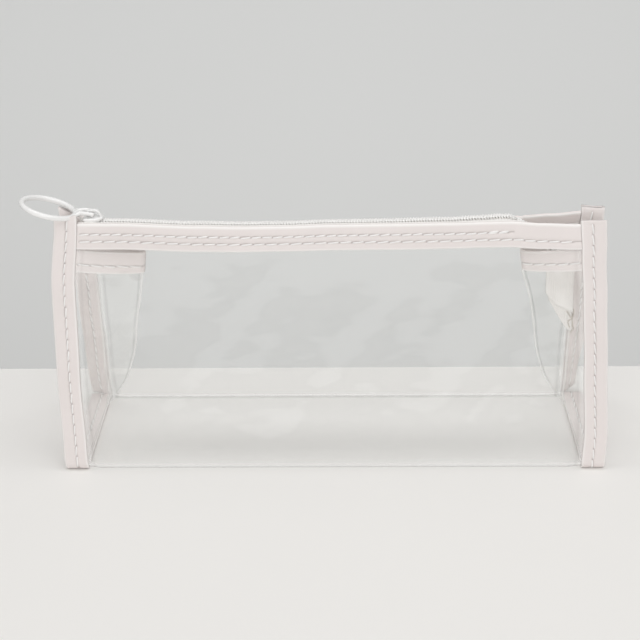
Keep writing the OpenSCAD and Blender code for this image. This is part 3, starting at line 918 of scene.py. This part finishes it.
# ---- Materials ----------------------------------------------------------------------
class Nodes:
    """Short way to add and join a material's nodes."""

    def __init__(self, name):
        self.material = bpy.data.materials.new(name)
        self.material.use_nodes = True
        self.tree = self.material.node_tree
        self.tree.nodes.clear()
        self.output = self.tree.nodes.new("ShaderNodeOutputMaterial")
        self.place = self.tree.nodes.new("ShaderNodeTexCoord").outputs["Object"]

    def feed(self, socket, value):
        """Joins another node's output to a socket, or sets the socket's constant."""
        if isinstance(value, bpy.types.NodeSocket):
            self.tree.links.new(value, socket)
        else:
            socket.default_value = value

    def add(self, kind, **inputs):
        node = self.tree.nodes.new(kind)
        for key, value in inputs.items():
            self.feed(node.inputs[key.replace("_", " ")], value)
        return node

    def noise(self, scale, detail=3.0, rough=0.5, stretch=(1, 1, 1)):
        mapping = self.add("ShaderNodeMapping", Vector=self.place, Scale=stretch)
        return self.add("ShaderNodeTexNoise", Vector=mapping.outputs[0], Scale=scale, Detail=detail,
                        Roughness=rough).outputs["Fac"]

    def weave(self, scale, turn):
        mapping = self.add("ShaderNodeMapping", Vector=self.place, Rotation=turn)
        wave = self.add("ShaderNodeTexWave", Vector=mapping.outputs[0], Scale=scale, Distortion=0.3)
        return wave.outputs["Fac"]

    def mark(self, name):
        """A value that the mesh carries at its points."""
        node = self.add("ShaderNodeAttribute")
        node.attribute_name = name
        return node.outputs["Fac"]

    def remap(self, value, low, high, to_low=0, to_high=1):
        return self.add("ShaderNodeMapRange", Value=value, From_Min=low, From_Max=high, To_Min=to_low,
                        To_Max=to_high).outputs[0]

    def maths(self, operation, a, b):
        node = self.tree.nodes.new("ShaderNodeMath")
        node.operation = operation
        for socket, value in zip(node.inputs, (a, b)):
            self.feed(socket, value)
        return node.outputs[0]

    def blend_colours(self, factor, a, b):
        node = self.tree.nodes.new("ShaderNodeMix")
        node.data_type = "RGBA"
        for index, value in ((0, factor), (6, a), (7, b)):
            self.feed(node.inputs[index], value)
        return node.outputs[2]

    def tint(self, share, factor, a, b):
        """Blends from a towards b by a share of the factor."""
        return self.blend_colours(self.maths("MULTIPLY", factor, share), a, b)

    def mix(self, factor, a, b):
        node = self.tree.nodes.new("ShaderNodeMixShader")
        for socket, source in zip(node.inputs, (factor, a.outputs[0], b.outputs[0])):
            self.tree.links.new(source, socket)
        return node

    def bump(self, height, distance, strength=1.0):
        return self.add("ShaderNodeBump", Height=height, Distance=distance, Strength=strength).outputs[0]

    def finish(self, shader):
        self.tree.links.new(shader.outputs[0], self.output.inputs["Surface"])
        return self.material

    def solid(self, colour, **inputs):
        """Finishes the material as an opaque one."""
        return self.finish(self.add("ShaderNodeBsdfPrincipled", Base_Color=colour, **inputs))


def rgb(r, g, b):
    return (r, g, b, 1.0)


def binding_material():
    m = Nodes("binding")
    tone = m.remap(m.noise(60, 4), 0.3, 0.7)
    colour = m.blend_colours(tone, rgb(0.81, 0.75, 0.733), rgb(0.835, 0.774, 0.758))
    # painted highlight: lighter along the strips' folds and inner edges
    colour = m.tint(0.8, m.mark("edge"), colour, rgb(0.96, 0.94, 0.925))
    # painted shade along the stitches and in their needle holes
    colour = m.tint(0.8, m.mark("seam"), colour, rgb(0.34, 0.30, 0.29))
    grain = m.noise(5200, 3, 0.6)
    soft = m.noise(420, 3, 0.5)
    height = m.maths("ADD", m.maths("MULTIPLY", grain, 0.25), soft)
    return m.solid(colour, Roughness=m.remap(soft, 0.3, 0.7, 0.38, 0.5), Normal=m.bump(height, 0.00009, 0.7),
                   Coat_Weight=0.3, Coat_Roughness=0.26)


def thread_material():
    m = Nodes("thread")
    fibres = m.noise(3200, 4, 0.6, (1, 3, 3))
    colour = m.blend_colours(m.remap(fibres, 0.3, 0.7), rgb(0.93, 0.91, 0.90), rgb(0.97, 0.96, 0.95))
    # painted shade: the loose threads are darkened towards beige to stand for their shadows
    colour = m.blend_colours(m.mark("painted_thread_shade"), colour, rgb(0.58, 0.52, 0.44))
    return m.solid(colour, Roughness=0.6, Normal=m.bump(fibres, 0.00006), Sheen_Weight=0.2)


def tape_material():
    m = Nodes("tape")
    rows = m.weave(330, (0, 0, 0))
    cross = m.weave(330, (0, math.radians(45), math.radians(90)))
    weave = m.maths("MAXIMUM", rows, cross)
    tone = m.remap(m.noise(90, 3), 0.3, 0.7)
    colour = m.blend_colours(tone, rgb(0.91, 0.885, 0.86), rgb(0.94, 0.92, 0.895))
    colour = m.blend_colours(m.remap(weave, 0, 1, 0.25, 0), colour, rgb(0.70, 0.66, 0.63))
    return m.solid(colour, Roughness=0.75, Normal=m.bump(weave, 0.00008), Sheen_Weight=0.25)


def coil_material():
    m = Nodes("coil")
    tone = m.remap(m.noise(500, 2), 0.3, 0.7)
    colour = m.blend_colours(tone, rgb(0.94, 0.93, 0.915), rgb(0.965, 0.955, 0.945))
    return m.solid(colour, Roughness=0.33, Normal=m.bump(m.noise(2600, 2), 0.00003))


def paint_material():
    m = Nodes("paint")
    peel = m.noise(900, 2, 0.5)
    tone = m.remap(m.noise(220, 2), 0.35, 0.65)
    colour = m.blend_colours(tone, rgb(0.90, 0.895, 0.89), rgb(0.93, 0.925, 0.92))
    return m.solid(colour, Roughness=m.remap(peel, 0.3, 0.7, 0.2, 0.3), Normal=m.bump(peel, 0.00004, 0.5),
                   Coat_Weight=0.6, Coat_Roughness=0.08)


def film_material():
    """Clear plasticised film: a faint grey tint, a gloss that grows towards grazing views, a little haze,
    and a painted highlight along its creases, partly the film's own whitening, with painted shade lines
    beside them."""
    m = Nodes("clear_film")
    ripples = m.maths("ADD", m.noise(24, 3, 0.5, (0.5, 1, 1)), m.maths("MULTIPLY", m.noise(120, 2), 0.06))
    normal = m.bump(ripples, 0.0018)
    # painted shade: the see-through colour darkens along the shade lines
    tint = m.tint(0.55, m.mark("shade"), rgb(0.984, 0.986, 0.983), rgb(0.5, 0.5, 0.49))
    clear = m.add("ShaderNodeBsdfTransparent", Color=tint)
    haze = m.add("ShaderNodeBsdfDiffuse", Color=rgb(0.97, 0.97, 0.965), Normal=normal)
    smear = m.remap(m.noise(34, 5, 0.6), 0.35, 0.75, 0.01, 0.05)
    # real haze from smears, plus a painted highlight of white along the creases
    haze_and_painted_highlight = m.maths("ADD", smear, m.maths("MULTIPLY", m.mark("crease"), 0.7))
    body = m.mix(haze_and_painted_highlight, clear, haze)
    gloss = m.add("ShaderNodeBsdfAnisotropic", Color=rgb(1, 1, 1), Roughness=0.09, Normal=normal)
    fresnel = m.add("ShaderNodeFresnel", IOR=1.48, Normal=normal)
    return m.finish(m.mix(m.maths("MINIMUM", fresnel.outputs[0], 0.26), body, gloss))


def plain_material(name, colour, rough, grain=0.0):
    m = Nodes(name)
    tone = m.remap(m.noise(3.0, 3), 0.3, 0.7, 0.97, 1.0)
    mixed = m.blend_colours(tone, rgb(0.5, 0.5, 0.5), rgb(*colour))
    return m.solid(mixed, Roughness=rough, Normal=m.bump(m.noise(900, 3), grain))


def opens(piece):
    """Bakes the piece's placement into its mesh; it is given no opening movement."""
    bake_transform(piece)


def unfolds(piece, side):
    """The right gusset's pieces are attached to the pouch's base, where they stay put; the left one's are
    only baked in place.
    """
    if side > 0:
        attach(piece, "pouch_base")
        return
    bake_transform(piece)


MATERIALS = {
    "clear_film": film_material(),
    "binding": binding_material(),
    "thread": thread_material(),
    "tape": tape_material(),
    "coil": coil_material(),
    "paint": paint_material(),
}


def dress(piece, slot, node):
    """Gives a piece its material and hides the CAD node that it stands for."""
    piece.data.materials.clear()
    piece.data.materials.append(MATERIALS[slot])
    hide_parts(node)
    return piece


THREAD_SINK = 0.13
LOWER_ROW, LOWER_PITCH = 3.0, 4.85      # stitches on the top strips, from their lower edges
UPPER_ROW, UPPER_PITCH = 5.8, 4.2
LOCK_STEP, LOCK_STITCHES = 0.45, 2.4    # the upper row ends sewn back over itself, a little higher
GUSSET_ROW = 3.1
# Where each row's first stitch starts, and how far before the chain's end the upper row stops.
STRIP_START, CORNER_START, GUSSET_START, UPPER_SHORT = 0.6, 1.2, 1.0, 1.5


def on_faces(run, thickness, row, seed, faces=(1, -1)):
    """Jobs for stitches: one row on each face of a strip, sunk a little in its groove. A row is
    (distance across, pitch, from, to)."""
    across, pitch, begin, end = row
    height = thickness / 2 - THREAD_SINK
    return [(run, across, face * height, pitch, begin, end, seed + k) for k, face in enumerate(faces)]


def make_side(back):
    label = SIDES[back]
    piece = dress(film(f"{label}_film", *side_film_grid(back)), "clear_film", f"{label}_panel")
    opens(piece)

    run = top_run(back)
    upper_end = CHAIN_END - UPPER_SHORT + BINDING_IN
    lower = (LOWER_ROW, LOWER_PITCH, STRIP_START, run.length)
    upper = (UPPER_ROW, UPPER_PITCH, STRIP_START, upper_end)
    lock = (UPPER_ROW + LOCK_STEP, UPPER_PITCH, upper_end - LOCK_STITCHES * UPPER_PITCH, upper_end)
    strip = folded_strip(f"{label}_strip", run, STRIP_W, STRIP_T, [lower, upper], seed=11 + back, shine=1.4)
    opens(dress(strip, "binding", f"{label}_top_strip"))

    jobs = [job for row, seed in ((lower, 100), (upper, 110), (lock, 120))
            for job in on_faces(run, STRIP_T, row, seed + back)]
    sewn = stitches(f"{label}_strip_stitches", jobs)
    opens(dress(sewn, "thread", f"{label}_strip_stitching"))

    jobs = []
    for side, hand in HANDS.items():
        run = corner_run(side, back)
        row = (CORNER_STITCH, CORNER_PITCH, CORNER_START, run.length)
        strip = folded_strip(f"{label}_{hand}_corner_strip", run, BINDING_W, CORNER_T, [row],
                             seed=21 + side + 3 * back, wobble=0.15)
        opens(dress(strip, "binding", f"{label}_{hand}_corner_binding"))
        jobs += on_faces(run, CORNER_T, row, 130 + side + 3 * back)
    sewn = stitches(f"{label}_corner_stitches", jobs)
    opens(dress(sewn, "thread", f"{label}_corner_stitching"))

    tape = cloth(f"{label}_tape", tape_grid(back), TAPE_T)
    opens(dress(tape, "tape", f"{label}_zipper_tape"))
    opens(dress(coil(f"{label}_coil_row", back), "coil", f"{label}_coil"))


def split_run(run, back):
    """The front or back half of a run that crosses the middle plane."""
    keep = run.origin[:, 1] >= 0 if back else run.origin[:, 1] <= 0
    return Run(run.origin[keep], run.across[keep], run.normal[keep])


def make_gusset(side):
    hand = HANDS[side]
    films = []
    for back, end in SIDES.items():
        piece = film(f"{hand}_gusset_film_{end}", *gusset_film_grid(side, back))
        films.append(dress(piece, "clear_film", f"{hand}_gusset"))
    run = gusset_strip_run(side)
    # the left strip is made in two halves, front and back
    halves = [(back, f"_{end}", split_run(run, back)) for back, end in SIDES.items()]
    for back, end, part in halves if side < 0 else [(False, "", run)]:
        row = (GUSSET_ROW, LOWER_PITCH, GUSSET_START, part.length)
        strip = folded_strip(f"{hand}_gusset_strip{end}", part, GUSSET_WIDTHS[side], GUSSET_STRIP_T, [row],
                             seed=71 + back, wobble=0.1)
        dress(strip, "binding", f"{hand}_gusset_binding")
        sewn = stitches(f"{hand}_gusset_stitches{end}", on_faces(part, GUSSET_STRIP_T, row, 140 + back))
        dress(sewn, "thread", "gusset_stitching")
        for piece in (strip, sewn):
            unfolds(piece, side)
    for back, piece in zip(SIDES, films):
        unfolds(piece, side)


def make_bottom():
    floor_film = dress(film("bottom_film", bottom_film_grid(), 0.0, 0.0), "clear_film", "bottom_panel")
    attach(floor_film, "pouch_base")
    jobs = []
    for side, hand in HANDS.items():
        run = bottom_run(side)
        row = (CORNER_STITCH, CORNER_PITCH, 0, run.length)
        strip = folded_strip(f"{hand}_bottom_strip", run, BINDING_W, CORNER_T, [row], seed=81 + side)
        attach(dress(strip, "binding", f"{hand}_bottom_binding"), "pouch_base")
        jobs += on_faces(run, CORNER_T, row, 150 + side, faces=(1,))
    sewn = dress(stitches("bottom_stitches", jobs), "thread", "bottom_stitching")
    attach(sewn, "pouch_base")


TAIL_COIL_L = 24.0
TAIL_TAPE_L = 26.0
TAIL_TAPE_HALF, TAIL_TAPE_END = 2.0, 4.0    # half its width, at its start and its end
PATCH_T = 0.8
LOOSE_ENDS = 9
LOOSE_THREAD_R = 0.22
# The tab sewn over the tail's end hangs flat outside the gusset: (share across, height of its lower edge).
TAB_LEFT, TAB_RIGHT, TAB_TOP = CHAIN_END + 13.0, CHAIN_END + 24.2, 84.0
TAB_EDGE = [(0.0, 65.5), (0.1, 63.4), (0.3, 60.6), (0.6, 58.8), (1.0, 57.0)]
LINING_EDGE = [(0.1, 62.0), (0.35, 57.0), (0.7, 50.5), (0.9, 47.6), (1.0, 47.4)]


def tab_grid(edge, first, last, behind):
    share = np.linspace(first, last, 26)
    low = np.interp(share, *np.array(edge).T)
    x = TAB_LEFT + (TAB_RIGHT - TAB_LEFT) * share
    rows = []
    for t in np.linspace(0, 1, 40):
        z = TAB_TOP + (low - TAB_TOP) * t
        y = behind + 0.45 * np.sin(3.1 * share) + 0.3 * waves(z, 19, 30) * t + 0.5 * t * t * (share - 0.5)
        rows.append(np.stack([x + 0.3 * waves(z, 23, 40) * t, y, z], -1))
    return settle(np.array(rows))


def loose_threads(name):
    """Frayed thread ends in small loops below the tab's far corner."""
    rng = np.random.default_rng(17)
    threads = []
    t = np.linspace(0, 1, 30)
    for _ in range(LOOSE_ENDS):
        size, phase = 0.5 + 0.6 * rng.random(), 2 * math.pi * rng.random()
        x = TAB_RIGHT - 1.2 + 1.8 * rng.random() + size * np.sin(8 * t + phase)
        z = 57.5 - 1.5 * rng.random() - 9.0 * t + 0.8 * size * np.cos(10 * t + phase)
        y = 0.3 + 0.7 * size * np.cos(7 * t + 2 * phase)
        threads.append(capsule(np.stack([x, y, z], -1), np.full(len(t), LOOSE_THREAD_R), sides=6))
    points, faces = join(threads)
    # the loose threads carry painted shade that darkens them
    return soft_shell(name, points, faces, {"painted_thread_shade": np.full(len(points), 0.8)})


def make_tail():
    run = tail_run()
    pieces = [
        (cloth("tail_tape", tail_tape(run, TAIL_TAPE_L, TAIL_TAPE_HALF, TAIL_TAPE_END), TAPE_T), "tape"),
        (tail_coil("tail_coil", run, TAIL_COIL_L), "coil"),
        (cloth("tail_tab", tab_grid(TAB_EDGE, 0.0, 1.0, -1.6), PATCH_T), "tape"),
        (cloth("tail_tab_lining", tab_grid(LINING_EDGE, 0.1, 1.0, -0.2), PATCH_T), "tape"),
        (loose_threads("tail_threads"), "thread"),
    ]
    for piece, slot in pieces:
        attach(dress(piece, slot, "zipper_tail"), "pouch_base")


def make_hardware():
    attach(dress(slider("zip_slider"), "paint", "slider_body"), "slider")
    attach(dress(pull("ring_pull"), "paint", "pull_ring"), "pull")


# ---- Stage, light and camera --------------------------------------------------------
# Places and sizes here are in metres.
TABLE_BACK = 0.0565
TABLE_T = 0.03
TABLE_HALF = 2
WALL_Y = 1.6
WORLD_STRENGTH = 0.5
# (name, place, what it faces, size, watts)
LIGHTS = [
    ("key", (0.3, -0.8, 1.5), (0, 0, 0.03), (1.5, 1.2), 6.8),
    ("fill", (-0.2, -1.7, 0.5), (0, 0, 0.06), (1.8, 0.9), 5.9),
    ("top", (0, 0.15, 1.3), (0, 0, 0.09), (1.6, 0.35), 4.6),
    ("wall_wash", (0, 0.5, -0.6), (0, WALL_Y, -0.3), (2.5, 0.8), 7.0),
]
CAMERA_AT = (0.011, -0.522, 0.314)
CAMERA_TURN = (-1.78, 26.58, -1.10)      # degrees: yaw, pitch down, roll
LENS_MM = 80.44


def plane(name, corners, material):
    mesh = bpy.data.meshes.new(name)
    mesh.from_pydata(corners, [], [(0, 1, 2, 3)])
    mesh.materials.append(material)
    put(name, mesh)


def area_light(name, place, target, size, power):
    data = bpy.data.lights.new(name, "AREA")
    data.shape = "RECTANGLE"
    data.size, data.size_y = size
    data.energy = power
    obj = put(name, data)
    obj.location = place
    obj.rotation_mode = "QUATERNION"
    obj.rotation_quaternion = (Vector(target) - Vector(place)).to_track_quat("-Z", "Y")


def make_stage():
    table = plain_material("table", (0.89, 0.875, 0.855), 0.5, 0.00002)
    wall = plain_material("backdrop", (0.70, 0.705, 0.70), 0.8)
    left, right = -TABLE_HALF, TABLE_HALF
    back_edge = [(left, TABLE_BACK, 0), (right, TABLE_BACK, 0)]
    plane("table_top", [(left, -TABLE_HALF, 0), (right, -TABLE_HALF, 0)] + back_edge[::-1], table)
    plane("table_edge", back_edge + [(right, TABLE_BACK, -TABLE_T), (left, TABLE_BACK, -TABLE_T)], table)
    plane("backdrop", [(x, WALL_Y, z) for x, z in ((-4, -2.5), (4, -2.5), (4, 2.5), (-4, 2.5))], wall)
    world = bpy.data.worlds.new("room")
    world.use_nodes = True
    background = world.node_tree.nodes["Background"]
    background.inputs["Color"].default_value = rgb(1.0, 0.995, 0.98)
    background.inputs["Strength"].default_value = WORLD_STRENGTH
    bpy.context.scene.world = world
    for light in LIGHTS:
        area_light(*light)


def make_camera():
    data = bpy.data.cameras.new("camera")
    data.sensor_width = 36.0
    data.lens = LENS_MM
    yaw, pitch, roll = (math.radians(a) for a in CAMERA_TURN)
    ahead = Vector((math.sin(yaw) * math.cos(pitch), math.cos(yaw) * math.cos(pitch), -math.sin(pitch)))
    level = Vector((math.cos(yaw), -math.sin(yaw), 0))
    above = level.cross(ahead)
    right = math.cos(roll) * level + math.sin(roll) * above
    up = -math.sin(roll) * level + math.cos(roll) * above
    obj = put("camera", data)
    turn = Matrix((right, up, -ahead)).transposed()
    obj.matrix_world = Matrix.Translation(CAMERA_AT) @ turn.to_4x4()
    bpy.context.scene.camera = obj


for rear in SIDES:
    make_side(rear)
for way_out in HANDS:
    make_gusset(way_out)
make_bottom()
make_tail()
make_hardware()
make_stage()
make_camera()
bpy.context.scene.view_settings.view_transform = "Standard"
